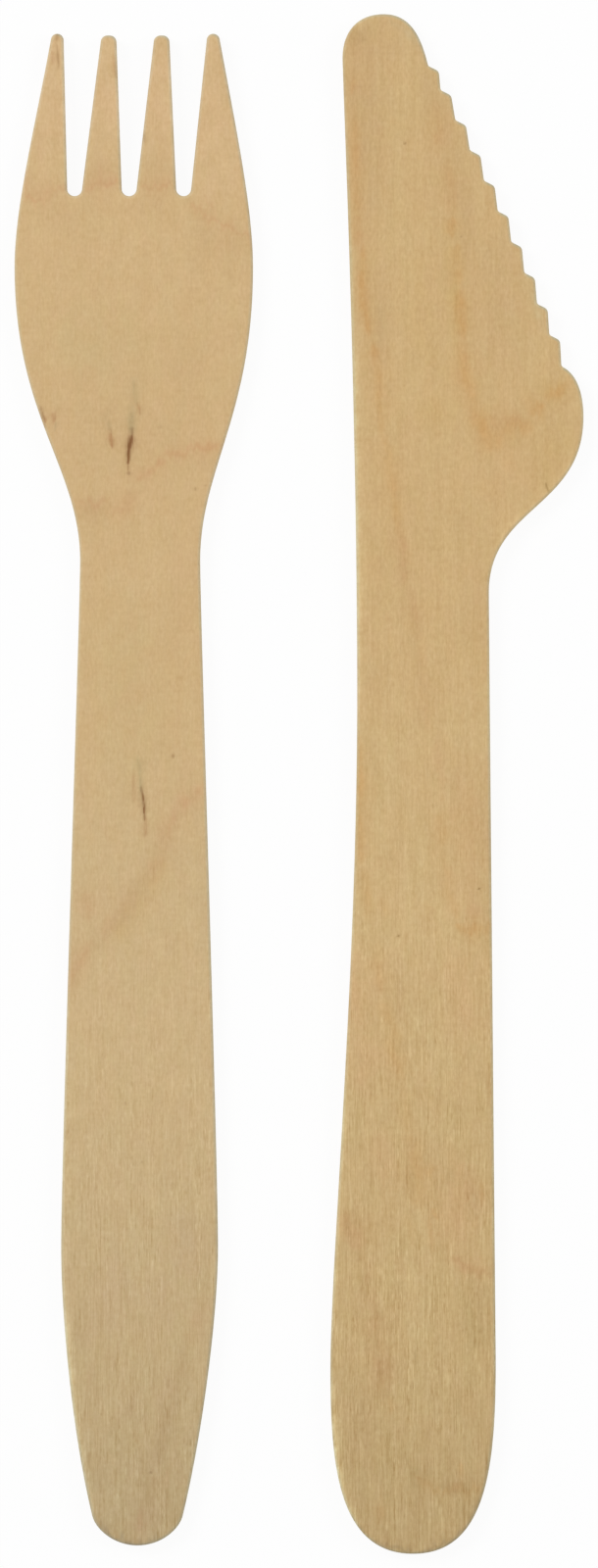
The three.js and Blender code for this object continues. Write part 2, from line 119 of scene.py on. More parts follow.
FORK_MARKS = {
    # Soft brownish shades at the tines' feet, round the neck, along the diagonal ring and down the handle.
    "shade": (
        Mark(((-22.4, 65.4), (-19.7, 65.6)), 0.9, 0.5),
        Mark(((-16.4, 66.2), (-14.0, 65.9)), 1.1, 0.55),
        Mark(((-26.6, 61.6), (-24.9, 60.8), (-24.3, 59.4)), 0.9, 0.45),
        Mark(((-22.6, 61.8), (-21.0, 61.4)), 0.8, 0.3),
        Mark(((-16.6, 62.6), (-14.6, 62.4)), 0.9, 0.45),
        Mark(((-11.2, 59.6), (-9.6, 58.2), (-7.4, 57.6), (-6.0, 57.2)), 1.6, 0.6),
        Mark(((-7.6, 54.8), (-7.6, 54.0)), 0.9, 0.7),
        Mark(((-14.0, 45.0), (-10.0, 44.5)), 3.0, 0.45),
        Mark(((-24.0, 43.5), (-22.0, 42.5)), 2.0, 0.35),
        Mark(((-25.5, 40.0), (-18.0, 36.0), (-11.0, 39.5)), 5.0, 0.35),
        Mark(((-9.0, 34.8), (-12.5, 34.2)), 1.0, 0.45),
        Mark(((-23.6, 29.7), (-22.0, 29.2), (-20.4, 29.1)), 1.1, 1.15),
        Mark(((-17.4, 32.2), (-18.2, 30.6), (-18.7, 28.2)), 0.8, 0.5),
        Mark(((-12.5, 24.5), (-12.8, 18.0), (-13.5, 12.0)), 1.6, 0.25),
        Mark(((-13.4, -4.0), (-14.4, -7.0), (-16.6, -10.4)), 0.9, 0.5),
        Mark(((-16.4, -10.0), (-17.5, -11.8), (-18.3, -13.2), (-19.3, -14.7), (-20.4, -16.0)), 0.75, 1.2),
        Mark(((-20.0, -15.6), (-22.0, -17.2)), 0.9, 0.7),
        Mark(((-12.4, -60.4), (-13.3, -64.5), (-14.2, -68.6), (-15.3, -72.6), (-16.2, -76.4)), 0.8, 1.0),
        Mark(((-16.6, -75.6), (-16.8, -80.2)), 0.8, 1.0),
        Mark(((-18.6, -66.8), (-17.8, -67.4)), 0.8, 0.8),
        Mark(((-23.3, -55.0), (-23.2, -61.0)), 0.9, 0.5),
        Mark(((-22.5, -63.0), (-21.5, -66.5)), 1.0, 0.35),
    ),
    # Pale wood: the four tines, the middle of the head and the top of the handle.
    "pale": (
        Mark(((-25.9, 80.0), (-26.6, 67.0)), 2.2, 1.0),
        Mark(((-20.4, 80.0), (-20.8, 67.5)), 2.0, 1.0),
        Mark(((-14.8, 80.0), (-15.2, 68.5)), 2.0, 1.0),
        Mark(((-9.1, 80.0), (-8.4, 62.5)), 2.4, 1.0),
        Mark(((-24.0, 57.0), (-14.0, 55.5)), 3.5, 0.2),
        Mark(((-21.5, 22.5), (-13.0, 22.0)), 3.2, 0.4),
    ),
    # A greenish cast above the neck and down the handle.
    "green": (
        Mark(((-26.0, 47.5), (-21.0, 47.0), (-16.5, 47.5)), 2.6, 0.9),
        Mark(((-18.0, 24.5), (-18.5, 14.0), (-18.0, 1.0)), 3.6, 0.8),
    ),
    # Honey-coloured wood under the diagonal ring.
    "honey": (
        Mark(((-14.4, -8.0), (-16.8, -12.4), (-20.0, -16.8)), 1.0, 1.0),
    ),
    # Mauve patches low on the handle.
    "mauve": (
        Mark(((-12.6, -46.0), (-11.6, -53.0)), 1.8, 0.9),
        Mark(((-19.4, -50.5), (-21.5, -59.0)), 2.2, 0.7),
        Mark(((-15.4, -52.5), (-13.6, -58.0)), 1.6, 0.6),
    ),
    # Growth rings: narrow reddish bands across the tines' feet, the neck and the handle.
    "ring": (
        Mark(((-29.3, 63.4), (-28.7, 62.7), (-28.2, 62.4), (-27.1, 62.6)), 0.24, 0.95),
        Mark(((-27.0, 62.7), (-26.5, 63.4), (-25.8, 63.7), (-25.1, 63.6)), 0.35, 0.6),
        Mark(((-25.2, 64.4), (-25.1, 63.2)), 0.2, 0.5),
        Mark(((-29.0, 63.3), (-27.4, 63.1), (-25.6, 63.8)), 0.8, 0.5),
        Mark(((-29.1, 66.2), (-29.4, 64.8), (-29.2, 63.5)), 0.4, 0.5),
        Mark(
            ((-23.0, 63.7), (-22.4, 63.9), (-21.2, 64.35), (-20.6, 64.1), (-20.1, 64.2), (-19.4, 64.6)),
            width=0.34,
            strength=1.0,
        ),
        Mark(((-22.8, 64.2), (-21.0, 64.7), (-19.6, 64.8)), 0.9, 0.6),
        Mark(((-17.0, 63.9), (-15.9, 63.85), (-15.0, 64.05), (-14.1, 64.1), (-13.3, 63.95)), 0.28, 0.95),
        Mark(((-16.8, 64.3), (-13.6, 64.3)), 0.8, 0.55),
        Mark(
            ((-11.6, 62.4), (-10.8, 61.6), (-10.1, 60.9), (-9.5, 60.4), (-9.0, 60.25), (-8.6, 60.4)),
            width=0.26,
            strength=0.95,
        ),
        Mark(((-10.0, 62.7), (-9.6, 62.0), (-9.1, 61.2), (-8.7, 60.5)), 0.15, 0.45),
        Mark(((-8.4, 60.2), (-7.6, 59.7), (-7.1, 59.3), (-6.3, 59.1), (-5.6, 58.6), (-5.1, 58.0)), 0.2, 0.85),
        Mark(((-5.7, 58.8), (-5.1, 57.2)), 0.5, 0.5),
        Mark(((-8.1, 36.5), (-9.0, 36.1), (-10.2, 36.15), (-11.6, 36.1)), 0.42, 1.0),
        Mark(((-11.6, 36.0), (-12.5, 35.5), (-13.5, 35.4), (-14.5, 35.2)), 0.42, 0.85),
        Mark(((-14.3, 34.7), (-15.2, 34.0), (-16.0, 33.6), (-16.8, 33.2), (-17.4, 32.5)), 0.42, 0.95),
        Mark(((-24.2, 30.5), (-23.0, 30.2), (-21.6, 30.05), (-20.2, 30.2)), 0.3, 0.6),
        Mark(((-20.4, 29.2), (-18.8, 29.4), (-17.8, 31.6)), 0.6, 0.5),
        Mark(((-20.5, 7.4), (-17.5, 9.0), (-15.0, 10.5)), 0.9, 0.22),
        Mark(((-10.3, -0.2), (-11.3, -1.0), (-12.2, -2.0), (-13.0, -3.2)), 0.7, 0.8),
        Mark(((-13.0, -2.8), (-14.0, -4.6), (-15.0, -6.6)), 0.65, 0.65),
        Mark(((-13.8, -5.4), (-15.2, -8.6), (-16.8, -10.6)), 0.8, 0.4),
        Mark(((-20.6, -14.3), (-20.8, -16.4)), 0.4, 0.4),
        Mark(((-22.9, -11.6), (-22.7, -14.2)), 0.7, 0.7),
        Mark(((-22.2, -17.0), (-23.2, -18.4), (-24.2, -20.4), (-24.8, -22.6)), 0.65, 0.8),
        Mark(((-9.4, -54.4), (-10.6, -57.0), (-11.8, -60.0)), 0.75, 0.45),
        Mark(((-14.2, -73.5), (-14.1, -75.5)), 0.2, 0.5),
        Mark(((-17.0, -77.6), (-17.05, -80.6)), 0.25, 0.4),
    ),
    # Painted highlights on edges: the tines' right edges and the handle's left edge.
    "light": (
        Mark(((-25.35, 79.6), (-25.2, 75.0), (-25.05, 68.0), (-25.0, 64.5)), 0.2, 0.75),
        Mark(((-19.6, 79.0), (-19.35, 73.0), (-19.15, 66.0)), 0.18, 0.48),
        Mark(((-13.95, 79.0), (-13.65, 73.0), (-13.4, 66.0)), 0.18, 0.5),
        Mark(((-24.9, -30.0), (-25.15, -40.0), (-25.35, -50.0), (-25.3, -54.0)), 0.42, 0.4),
        Mark(((-25.25, -52.5), (-24.9, -59.5), (-24.3, -64.5), (-23.7, -69.5), (-23.15, -73.0)), 0.28, 1.1),
        Mark(((-23.2, -72.5), (-22.7, -75.0), (-21.9, -78.0)), 0.36, 0.5),
    ),
    # Painted shade on edges: the handle's end and its right edge.
    "painted_edge_shade": (
        Mark(((-21.7, -78.8), (-20.2, -80.6), (-17.3, -81.5), (-14.6, -80.9)), 0.26, 1.0),
        Mark(((-8.95, -54.5), (-9.3, -58.5), (-9.8, -63.0)), 0.26, 0.5),
    ),
    # Grey-green smears that lead into the streaks.
    "smear": (
        Mark(((-17.9, 40.2), (-17.95, 39.0), (-17.95, 37.6)), 0.32, 0.95),
        Mark(((-17.85, 41.0), (-17.85, 39.2)), 0.4, 0.5),
        Mark(((-17.7, 43.6), (-17.55, 42.0), (-17.32, 40.5)), 0.26, 0.55),
        Mark(((-20.8, 40.2), (-20.7, 38.6)), 0.4, 0.3),
        Mark(((-20.42, 38.7), (-20.26, 37.5)), 0.26, 0.6),
        Mark(((-26.08, 38.7), (-26.0, 37.8)), 0.18, 0.5),
        Mark(((-17.05, 2.7), (-17.0, 0.8)), 0.33, 0.6),
        Mark(((-16.98, 1.1), (-16.88, -0.5)), 0.17, 1.0),
        Mark(((-17.9, 1.6), (-17.3, 1.3)), 0.3, 0.3),
    ),
    # Reddish-brown stains: a faint streak, smudges at the left edge and on the tines, and streaks' halos.
    "stain": (
        Mark(((-20.12, 37.4), (-20.08, 36.8), (-20.06, 36.1)), 0.24, 1.1),
        Mark(((-20.18, 37.8), (-20.07, 36.0)), 0.2, 0.4),
        Mark(((-27.4, 39.8), (-27.25, 39.2), (-27.1, 38.7)), 0.15, 0.8),
        Mark(((-26.4, 39.9), (-26.25, 39.3), (-26.12, 38.8)), 0.2, 0.75),
        Mark(((-17.9, 37.8), (-18.05, 36.8), (-18.25, 35.4)), 0.38, 0.5),
        Mark(((-17.32, 40.9), (-17.14, 40.2), (-16.98, 39.4)), 0.14, 0.6),
        Mark(((-16.5, -3.6), (-16.42, -4.6), (-16.4, -5.8)), 0.22, 0.6),
        Mark(((-17.75, 0.8), (-17.72, -0.6), (-17.7, -2.2)), 0.17, 0.5),
        Mark(((-26.4, 78.6), (-26.35, 77.2)), 0.2, 0.4),
        Mark(((-19.84, 78.2), (-19.72, 76.9), (-19.6, 75.6)), 0.15, 0.75),
    ),
    # Brown mineral streaks and specks, the dark ones sunk a little below the face.
    "streak": (
        Mark(((-17.86, 38.3), (-17.92, 37.3)), 0.2, 0.4, 0.02),
        Mark(((-17.94, 37.4), (-18.02, 36.8), (-18.14, 36.2), (-18.22, 35.7)), 0.23, 1.15, 0.05),
        Mark(((-18.1, 36.5), (-18.24, 35.6), (-18.31, 34.2)), 0.16, 1.1, 0.05),
        Mark(((-18.31, 34.3), (-18.29, 33.5)), 0.1, 0.5),
        Mark(((-18.26, 33.5), (-18.24, 33.1)), 0.15, 0.65),
        Mark(((-16.92, -0.3), (-16.72, -1.4), (-16.6, -2.3), (-16.56, -3.9)), 0.13, 1.0, 0.05),
        Mark(((-25.92, 80.5), (-25.92, 79.6)), 0.15, 0.5, 0.03),
        Mark(((-25.92, 79.2), (-25.85, 78.3), (-25.77, 77.4), (-25.72, 76.6)), 0.11, 0.38, 0.03),
        Mark(((-27.66, 40.5), (-27.44, 39.6), (-27.26, 38.9)), 0.11, 0.6, 0.03),
        Mark(((-16.62, 69.8), (-16.5, 68.6)), 0.14, 0.4, 0.04),
        Mark(((-13.5, 3.2), (-13.47, 2.8)), 0.12, 0.55),
        Mark(((-11.12, 31.8), (-11.08, 31.4)), 0.1, 0.3),
        Mark(((-10.05, 32.05), (-10.03, 31.9)), 0.12, 0.3),
        Mark(((-14.85, 38.5), (-14.8, 38.1)), 0.15, 0.18),
        Mark(((-18.6, -34.0), (-18.6, -34.4)), 0.12, 0.25),
        Mark(((-16.9, -40.4), (-16.75, -40.6)), 0.12, 0.25),
        Mark(((-15.9, -73.6), (-15.82, -73.9)), 0.15, 0.4),
    ),
}

# The tip's right side, which is both darker and cooler.
TIP_SIDE = Mark(((14.2, 77.4), (12.6, 80.0), (9.6, 82.0)), 0.5, 0.8)

KNIFE_MARKS = {
    # Soft mauve shades over the tip, beside the rings, along the teeth, and here and there on the handle.
    "shade": (
        Mark(((6.4, 79.6), (11.5, 79.0)), 3.0, 0.5),
        TIP_SIDE,
        Mark(((7.6, 81.0), (7.5, 74.0), (7.6, 66.0), (7.8, 60.0)), 1.5, 0.75),
        Mark(((8.4, 56.0), (8.8, 50.0), (9.0, 45.0)), 1.0, 0.6),
        Mark(((13.6, 77.0), (15.0, 72.0), (16.4, 66.0), (17.6, 61.0), (18.4, 56.0)), 1.4, 0.65),
        Mark(((20.6, 59.0), (21.6, 52.0), (21.6, 45.0)), 3.0, 0.45),
        Mark(((8.6, 13.0), (8.4, 9.6)), 1.8, 0.3),
        Mark(((18.4, 24.5), (18.8, 19.0), (18.6, 15.0)), 1.2, 0.35),
        Mark(((10.2, -18.4), (11.0, -22.0), (10.6, -25.0)), 1.0, 0.4),
        Mark(((18.9, -43.0), (18.6, -46.0)), 1.0, 0.4),
        Mark(((5.6, -63.0), (5.9, -68.0), (7.0, -72.0)), 1.4, 0.4),
    ),
    # Rosy wood at the sides of the handle and in the blade's belly.
    "rose": (
        Mark(((5.8, -18.0), (6.4, -26.0), (7.4, -33.0)), 1.7, 0.85),
        Mark(((16.6, -18.0), (17.6, -22.0), (18.6, -26.5)), 1.7, 0.7),
        Mark(((8.6, -37.5), (10.0, -43.5)), 1.0, 0.8),
        Mark(((17.0, -40.5), (17.6, -44.0), (16.6, -47.5), (18.6, -50.5)), 2.0, 1.0),
        Mark(((23.4, 36.0), (21.4, 31.5)), 2.0, 0.4),
    ),
    # Honey-coloured wood round the blade's belly and beside the inner ring.
    "honey": (
        Mark(((14.4, 41.4), (15.2, 38.4)), 1.3, 0.8),
        Mark(((28.2, 38.4), (27.0, 34.6), (25.2, 31.8)), 1.9, 0.65),
        Mark(((13.0, 57.5), (12.6, 50.0), (13.6, 43.5)), 1.2, 0.4),
        Mark(((16.1, 60.5), (16.5, 53.0), (16.8, 47.0)), 0.75, 0.7),
        Mark(((16.0, 47.0), (15.6, 42.0)), 1.0, 0.4),
        Mark(((25.4, 41.8), (28.4, 43.2)), 1.0, 0.6),
    ),
    # Brown patches at the tip's corner, low on the handle's right side and above its end.
    "brown": (
        Mark(((5.9, 81.2), (6.1, 79.0)), 1.1, 0.85),
        Mark(((18.6, -53.4), (18.9, -57.0), (18.8, -60.8)), 1.0, 1.2),
        Mark(((12.0, -73.4), (14.0, -75.2)), 1.0, 0.6),
        Mark(((15.2, -75.8), (17.4, -75.2), (19.2, -75.2)), 0.7, 0.8),
    ),
    # Pale, cool bands down the blade and in the middle of the handle.
    "pale": (
        Mark(((11.2, 80.5), (10.8, 74.0), (10.5, 66.0), (10.4, 60.0), (11.0, 48.0), (11.3, 42.0)), 1.4, 0.6),
        Mark(((9.0, 8.0), (9.2, 0.0), (9.6, -6.0)), 1.6, 0.7),
        Mark(((12.2, -4.0), (12.6, -12.0), (12.6, -20.0), (13.6, -26.0), (15.6, -30.0)), 1.6, 0.6),
        Mark(((17.6, 12.5), (17.4, 7.0)), 1.4, 0.4),
        Mark(((16.4, -34.4), (16.8, -38.4)), 0.9, 0.8),
        Mark(((13.4, -46.4), (13.4, -49.8)), 0.3, 0.9),
        Mark(((11.6, -45.5), (12.2, -51.0), (13.2, -57.0), (14.0, -66.0)), 1.5, 0.9),
        Mark(((18.0, -61.4), (17.8, -64.4)), 0.7, 0.9),
    ),
    # Growth rings: orange bands along the spine, round the blade's belly, down the handle and at its end.
    "ring": (
        Mark(((5.8, 75.6), (5.75, 74.0)), 0.25, 0.4),
        Mark(((5.95, 72.2), (6.05, 69.5), (6.1, 67.0), (6.2, 64.5), (6.1, 59.5), (6.15, 57.6)), 0.52, 0.65),
        Mark(((6.95, 57.4), (6.85, 55.2), (6.8, 53.2), (6.95, 51.2), (7.4, 49.3), (7.6, 48.2)), 0.52, 1.0),
        Mark(((8.0, 47.2), (8.1, 45.4), (8.5, 43.4), (8.6, 41.4), (8.75, 39.2), (9.1, 37.4)), 0.54, 0.58),
        Mark(((8.0, 47.0), (8.1, 45.6)), 0.5, 0.8),
        Mark(((9.0, 37.2), (9.6, 35.4), (9.7, 33.6), (10.1, 31.4), (10.4, 29.0), (10.7, 27.0)), 0.52, 0.55),
        Mark(((15.1, -2.6), (15.25, -4.6), (15.4, -6.6)), 0.52, 0.65),
        Mark(((15.7, -7.6), (15.85, -9.6), (15.7, -11.4), (16.4, -12.8), (16.9, -14.2)), 0.5, 0.4),
        Mark(((6.45, 5.2), (6.65, 3.0), (6.6, 0.4), (6.5, -2.0), (6.5, -4.0), (6.8, -8.4)), 0.5, 0.72),
        Mark(((6.9, -9.2), (7.3, -11.0), (7.35, -12.6), (7.6, -14.6)), 0.45, 0.5),
        Mark(((9.0, -12.0), (9.2, -14.0)), 0.52, 0.25),
        Mark(((8.1, -17.0), (8.3, -19.0), (8.6, -20.6), (8.8, -22.0)), 0.52, 0.4),
        Mark(((8.9, -23.0), (9.5, -25.4), (9.9, -26.8)), 0.65, 0.4),
        Mark(((10.3, -25.6), (10.25, -27.6), (10.2, -29.0), (10.6, -30.6), (11.1, -31.8)), 0.65, 0.5),
        Mark(((11.0, -32.2), (11.4, -34.4), (11.6, -36.0), (12.0, -37.6)), 0.59, 0.35),
        Mark(((12.0, -37.4), (12.3, -39.4), (12.4, -41.6), (12.7, -43.6), (12.6, -45.2)), 0.85, 0.5),
        Mark(((13.0, -41.4), (14.4, -41.2)), 0.7, 0.5),
        Mark(((14.7, 73.2), (14.9, 71.2), (14.9, 69.4), (14.8, 67.4)), 0.65, 0.45),
        Mark(((15.9, 66.8), (15.95, 64.8), (16.3, 62.6), (16.5, 61.0)), 0.78, 0.4),
        Mark(((16.35, 60.8), (16.35, 58.8)), 0.5, 0.95),
        Mark(((16.9, 57.8), (17.1, 55.6), (17.1, 53.6)), 0.52, 0.65),
        Mark(((17.2, 53.0), (17.4, 51.0), (17.45, 49.2), (17.5, 47.8)), 0.59, 0.85),
        Mark(
            ((17.6, 47.4), (17.8, 45.4), (17.8, 43.4), (18.2, 41.8), (18.8, 40.6), (19.3, 39.6)),
            width=0.72,
            strength=0.68,
        ),
        Mark(((18.5, 40.6), (19.2, 38.9), (19.9, 37.6), (20.3, 36.6), (20.7, 36.0)), 0.9, 0.75),
        Mark(((20.6, 36.2), (21.2, 37.0), (21.8, 37.6), (22.6, 38.2), (23.4, 38.8), (24.0, 38.9)), 0.85, 0.6),
        Mark(((23.8, 39.1), (24.4, 37.6)), 0.6, 0.9),
        Mark(((24.8, 39.6), (25.5, 40.5), (26.2, 41.0)), 0.6, 0.95),
        Mark(((26.3, 41.1), (27.2, 41.6), (28.1, 42.4), (28.7, 43.1)), 0.56, 0.8),
        Mark(((20.0, 39.4), (20.6, 39.2), (21.3, 38.0)), 0.39, 0.5),
        Mark(((16.8, -15.4), (18.2, -15.7), (19.4, -15.6), (20.7, -15.2)), 0.55, 0.9),
        Mark(((16.7, -12.8), (16.9, -15.0)), 0.25, 0.35),
        Mark(((9.7, -65.6), (9.9, -67.2)), 0.25, 0.5),
        Mark(((14.2, -45.6), (14.8, -46.4)), 0.39, 0.4),
        Mark(((19.6, -42.4), (19.5, -45.0)), 0.25, 0.4),
        Mark(((11.6, -46.0), (12.3, -50.0)), 0.39, 0.3),
        Mark(((14.0, -46.6), (14.2, -50.0)), 0.25, 0.3),
        Mark(
            ((12.4, -74.3), (13.1, -74.8), (13.8, -75.2), (14.6, -75.8), (15.3, -76.1), (16.1, -75.8)),
            width=0.39,
            strength=0.55,
        ),
        Mark(
            ((16.2, -75.6), (16.7, -75.1), (17.3, -75.2), (18.0, -75.8), (18.8, -75.4), (19.7, -75.0)),
            width=0.41,
            strength=0.45,
        ),
        Mark(((17.3, -72.6), (17.4, -74.6)), 0.2, 0.5),
        Mark(((8.3, -77.0), (8.7, -78.2), (9.1, -78.6)), 0.5, 0.6),
    ),
    # Maroon bands: the tip's corner and the spine, the belly, the ring's faint run down the handle, the
    # handle's right side, and the dark bands low on it.
    "maroon": (
        Mark(((5.8, 81.2), (6.0, 79.0), (6.0, 76.8)), 1.0, 0.32),
        Mark(((5.7, 77.0), (5.9, 72.4)), 0.7, 0.45),
        Mark(((6.4, 60.6), (6.9, 56.8)), 0.8, 0.5),
        Mark(((10.7, 27.2), (11.1, 25.6), (11.35, 24.0), (11.3, 22.4), (11.2, 20.8)), 0.54, 0.75),
        Mark(((11.7, 21.4), (12.0, 19.4), (12.5, 18.2), (12.55, 16.6), (12.7, 15.2)), 0.52, 0.5),
        Mark(((12.6, 15.4), (13.2, 13.6), (13.2, 12.0), (13.5, 10.4), (13.75, 6.6), (14.2, 5.2)), 0.65, 0.45),
        Mark(((14.5, 5.0), (14.9, 3.0), (15.2, 0.6), (15.2, -2.0)), 0.55, 0.6),
        Mark(((18.4, 3.0), (18.6, -4.0), (18.6, -9.6)), 2.1, 0.5),
        Mark(((17.8, -13.6), (19.6, -13.9)), 1.1, 0.65),
        Mark(((18.2, -9.0), (18.4, -12.5)), 1.2, 0.4),
        Mark(((4.6, -46.0), (5.6, -47.6), (6.4, -49.8)), 1.1, 1.0),
        Mark(((6.6, -48.6), (6.8, -50.6), (7.5, -53.6)), 0.6, 0.65),
        Mark(((7.5, -54.0), (8.2, -58.0), (8.7, -61.0)), 0.9, 0.65),
        Mark(((8.6, -59.5), (8.9, -62.6), (9.1, -65.6)), 0.85, 1.0),
        Mark(((16.4, -50.9), (18.2, -51.9), (19.6, -52.1), (20.9, -52.4)), 0.6, 1.0),
        Mark(((20.6, 38.5), (22.4, 39.0), (23.9, 39.3)), 0.7, 0.55),
        Mark(((15.6, -75.6), (17.2, -75.2), (18.8, -75.4)), 0.55, 0.3),
    ),
    # Painted highlights on edges: the spine, the heel's lower edge and the handle's left edge.
    "light": (
        Mark(((6.0, 48.0), (6.15, 38.0), (6.35, 28.0), (6.45, 18.0), (6.45, 8.5)), 0.3, 0.36),
        Mark(
            ((20.7, 24.2), (21.9, 26.7), (23.5, 28.5), (26.9, 31.6), (28.4, 33.3), (29.4, 35.3)),
            width=0.22,
            strength=0.36,
        ),
        Mark(((5.65, -13.5), (5.45, -19.0)), 0.35, 0.3),
        Mark(((5.35, -26.0), (4.65, -40.0), (4.05, -50.0), (3.75, -54.5), (3.6, -58.5)), 0.4, 0.34),
        Mark(
            ((3.55, -64.5), (3.65, -68.0), (3.9, -71.5), (4.6, -75.5), (5.4, -77.6), (6.5, -79.5)),
            width=0.4,
            strength=1.0,
        ),
    ),
    # Cooler edges: the spine, the tip's right side and some of the teeth.
    "cool": (
        Mark(((5.2, 68.0), (5.65, 54.0), (5.85, 47.2), (6.15, 31.5), (6.3, 11.0)), 0.26, 1.0),
        TIP_SIDE,
        Mark(((26.3, 48.5), (25.2, 52.0), (24.0, 56.5)), 0.4, 1.0),
    ),
    # Painted shade on edges: the handle's end and its right edge.
    "painted_edge_shade": (
        Mark(((8.0, -80.9), (12.4, -82.4), (16.2, -81.3)), 0.17, 0.9),
        Mark(((13.4, -82.2), (16.2, -81.1), (18.5, -79.0), (19.9, -75.6)), 0.18, 1.0),
        Mark(((20.7, -69.5), (20.35, -72.5), (19.7, -76.0)), 0.2, 0.5),
        Mark(((20.3, 6.0), (20.35, -4.0), (20.45, -18.0)), 0.35, 0.27),
    ),
    # Specks, and a short split at the heel.
    "streak": (
        Mark(((11.2, 68.55), (11.45, 68.7)), 0.13, 0.52),
        Mark(((17.35, 58.75), (17.4, 58.55)), 0.11, 0.3),
        Mark(((19.25, -11.15), (19.3, -11.3)), 0.15, 0.85),
        Mark(((10.62, -16.2), (10.68, -16.35)), 0.16, 0.6),
        Mark(((26.45, 32.3), (26.55, 31.8), (26.72, 31.1)), 0.09, 0.7, 0.06),
        Mark(((12.45, -60.6), (12.5, -62.4)), 0.1, 0.22),
    ),
}

# A piece's look: its wood, how plain its bands, fibres and flecks are, where along its length, in
# millimetres, the fibres start to come in and are in full, and what multiplies the wood on each mark.
# A fade tints the handle: not at all at its start, and in full at its end. The later fades are painted shade,
# darkening the handle towards its end. Colours are linear.
Look = namedtuple("Look", "wood bands fibres flecks start end tints fades")
Fade = namedtuple("Fade", "tint start end")
# Painted shade for the darker edges: the handles' ends and right edges.
PAINTED_EDGE_SHADE_TINT = (0.80, 0.80, 0.83, 1.0)
FORK_LOOK = Look(
    wood=(0.622, 0.431, 0.212),
    bands=0.12,
    fibres=1.12,
    flecks=0.52,
    start=14.0,
    end=-80.0,
    tints={
        "shade": (0.94, 0.905, 0.90, 1.0),
        "pale": (1.05, 1.035, 1.085, 1.0),
        "green": (0.962, 0.99, 0.975, 1.0),
        "honey": (0.985, 0.955, 0.88, 1.0),
        "mauve": (0.965, 0.945, 0.985, 1.0),
        "ring": (0.95, 0.845, 0.825, 1.0),
        # Painted highlight for the edges.
        "light": (1.20, 1.26, 1.30, 1.0),
        "painted_edge_shade": PAINTED_EDGE_SHADE_TINT,
        "smear": (0.78, 0.81, 0.79, 1.0),
        "stain": (0.74, 0.60, 0.53, 1.0),
        "streak": (0.41, 0.28, 0.18, 1.0),
    },
    fades=(
        Fade((0.975, 1.015, 1.065, 1.0), 12.0, -14.0),
        # Painted shade, darkening the handle towards its end.
        Fade((0.93, 0.95, 0.955, 1.0), -26.0, -54.0),
        Fade((0.87, 0.875, 0.875, 1.0), -52.0, -84.0),
    ),
)
KNIFE_LOOK = Look(
    wood=(0.610, 0.416, 0.192),
    bands=0.4,
    fibres=1.28,
    flecks=0.64,
    start=34.0,
    end=-66.0,
    tints={
        "shade": (0.925, 0.905, 0.925, 1.0),
        "rose": (1.015, 0.955, 0.965, 1.0),
        "honey": (0.965, 0.955, 0.87, 1.0),
        "brown": (0.90, 0.895, 0.86, 1.0),
        "pale": (1.01, 1.03, 1.035, 1.0),
        "ring": (0.95, 0.835, 0.705, 1.0),
        "maroon": (0.935, 0.85, 0.83, 1.0),
        # Painted highlight for the edges.
        "light": (1.30, 1.40, 1.50, 1.0),
        "cool": (0.99, 1.06, 1.12, 1.0),
        "painted_edge_shade": PAINTED_EDGE_SHADE_TINT,
        "streak": (0.41, 0.31, 0.14, 1.0),
    },
    fades=(
        Fade((1.01, 1.035, 1.055, 1.0), 20.0, 0.0),
        # Painted shade, darkening the handle towards its end.
        Fade((0.935, 0.94, 0.925, 1.0), -8.0, -46.0),
        Fade((0.88, 0.885, 0.885, 1.0), -52.0, -82.0),
    ),
)

# What multiplies the wood of both pieces: a painted highlight on the rims, painted shade on the rims that
# face the tips, the sawn walls, faint casts, and the darkest and the palest grain.
RIM_HIGHLIGHT_TINT = (0.98, 1.11, 1.30, 1.0)
# Painted shade for the rims that face the tips and a little to the right.
PAINTED_RIM_SHADE_TINT = (0.76, 0.87, 1.0, 1.0)
WALL_TINT = (0.97, 0.85, 0.71, 1.0)
PINK_CAST = (1.004, 0.989, 0.99, 1.0)
GREEN_CAST = (0.993, 1.003, 0.999, 1.0)
BLUE_CAST = (1.0, 1.0, 1.02, 1.0)
YELLOW_CAST = (1.0, 1.0, 0.98, 1.0)
DARK_GRAIN = (0.80, 0.73, 0.62)
PALE_GRAIN = (1.20, 1.27, 1.38)

# The way out over a rim goes from 0 to 1: the power of it that spreads the painted highlight and shade over
# the rim, and where the wall comes in.
RIM_POWER = 0.5
WALL_SPAN = (0.92, 1.0)

# Each piece's own grain: its seed, and how far each step of the seed shifts the layers, in metres.
FORK_SEED = 3
KNIFE_SEED = 8
SEED_SHIFT = (0.01, 0.02, 0.0)

# Layers of grain: a cell's size in millimetres across, along and through the sheet, and the kind of noise.
Layer = namedtuple("Layer", "cell detail roughness warp", defaults=(0.0,))

# Fine layers: straight fibres, each set with the layer that breaks it along its length, fibres that run on,
# pores, flecks, and ripples across the grain.
LINES = (
    (Layer((0.148, 40.0, 0.8), 1.0, 0.5), Layer((0.5, 1.1, 0.8), 2.0, 0.6)),
    (Layer((0.175, 50.0, 0.9), 1.0, 0.5), Layer((0.6, 2.0, 0.9), 2.0, 0.6)),
)
LONG_FIBRE = Layer((0.145, 5.0, 0.7), 1.0, 0.5)
PORE = Layer((0.13, 1.8, 0.5), 2.0, 0.5)
FLECK = Layer((0.27, 0.64, 0.4), 2.0, 0.55, 0.1)
CROSS = Layer((1.3, 0.34, 2.0), 2.0, 0.6)

